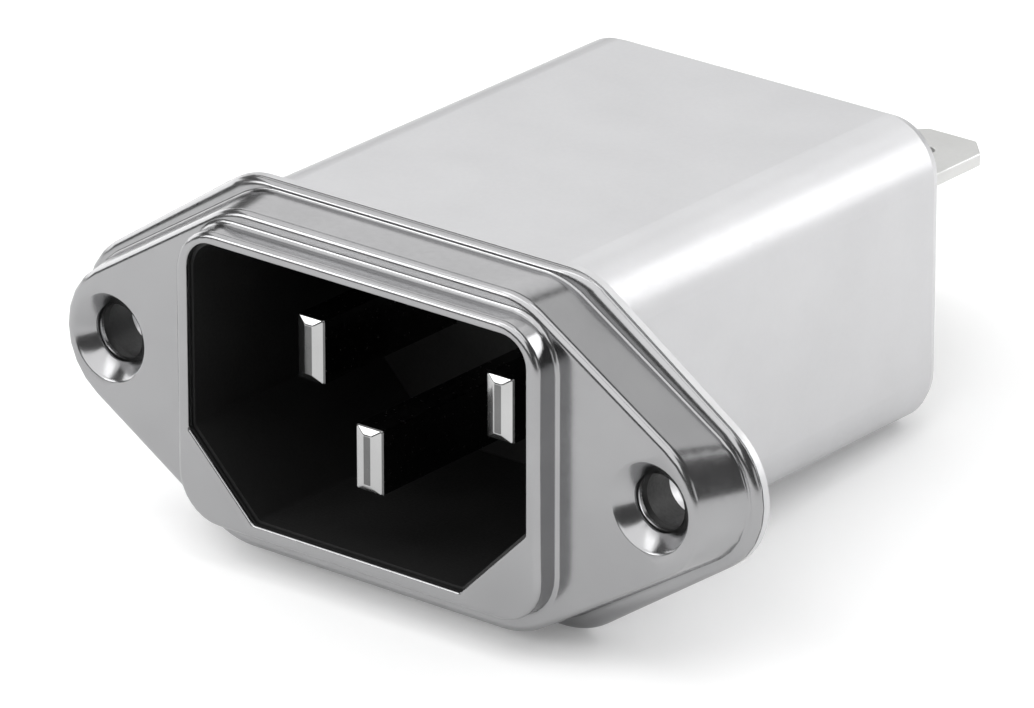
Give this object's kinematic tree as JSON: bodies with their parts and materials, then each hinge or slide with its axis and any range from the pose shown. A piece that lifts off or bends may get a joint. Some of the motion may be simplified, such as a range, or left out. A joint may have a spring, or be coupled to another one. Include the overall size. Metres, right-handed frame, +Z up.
{
  "type": "c14 panel inlet socket",
  "caption": "Power inlet socket for a panel: a flanged sheet cover with a recessed three-pin socket in front of a screened filter can with flat terminals at the rear.",
  "frame": {"origin": "Midway between the two fixing holes, on the rear face of the flange, which seats on the panel.", "axes": "+Z is up, across the short side of the flange. +Y points from the socket through the panel to the rear terminals. +X runs along the line of the fixing holes, to the right as seen from the socket side."},
  "size_m": [0.05, 0.0488, 0.022],
  "materials": {
    "cover_steel": "satin nickel-plated steel sheet, smooth and lightly brushed",
    "can_steel": "matte tin-plated steel sheet with a fine grain",
    "black_moulding": "black moulded thermoplastic with a fine texture",
    "pin_plating": "bright nickel plating on brass",
    "blade_plating": "matte tin plating on brass sheet",
    "copper_strip": "bare copper strip, slightly dull",
    "copper_wire": "enamelled copper wire, glossy reddish brown",
    "ferrite": "dark grey sintered ferrite, matte",
    "liner_film": "translucent polyester film, satin",
    "x_case": "yellow moulded capacitor case, satin",
    "disc_coating": "blue dipped coating, semi-gloss",
    "resistor_coating": "beige lacquer, semi-gloss"
  },
  "bodies": {
    "root": {"front_cover": "cover_steel", "filter_can": "can_steel", "socket_insert": "black_moulding", "line_pin": "pin_plating", "neutral_pin": "pin_plating", "earth_pin": "pin_plating", "terminal_block": "black_moulding", "line_tab": "blade_plating", "neutral_tab": "blade_plating", "earth_tab": "blade_plating", "earth_rivet": "blade_plating", "earth_strap": "copper_strip", "choke_core": "ferrite", "line_winding": "copper_wire", "neutral_winding": "copper_wire", "winding_divider": "liner_film", "insulating_liner": "liner_film", "line_lead_in": "copper_wire", "line_lead_out": "copper_wire", "neutral_lead_in": "copper_wire", "neutral_lead_out": "copper_wire", "x_capacitor": "x_case", "y_capacitor_line": "disc_coating", "y_capacitor_neutral": "disc_coating", "bleed_resistor": "resistor_coating"}
  },
  "joints": []
}
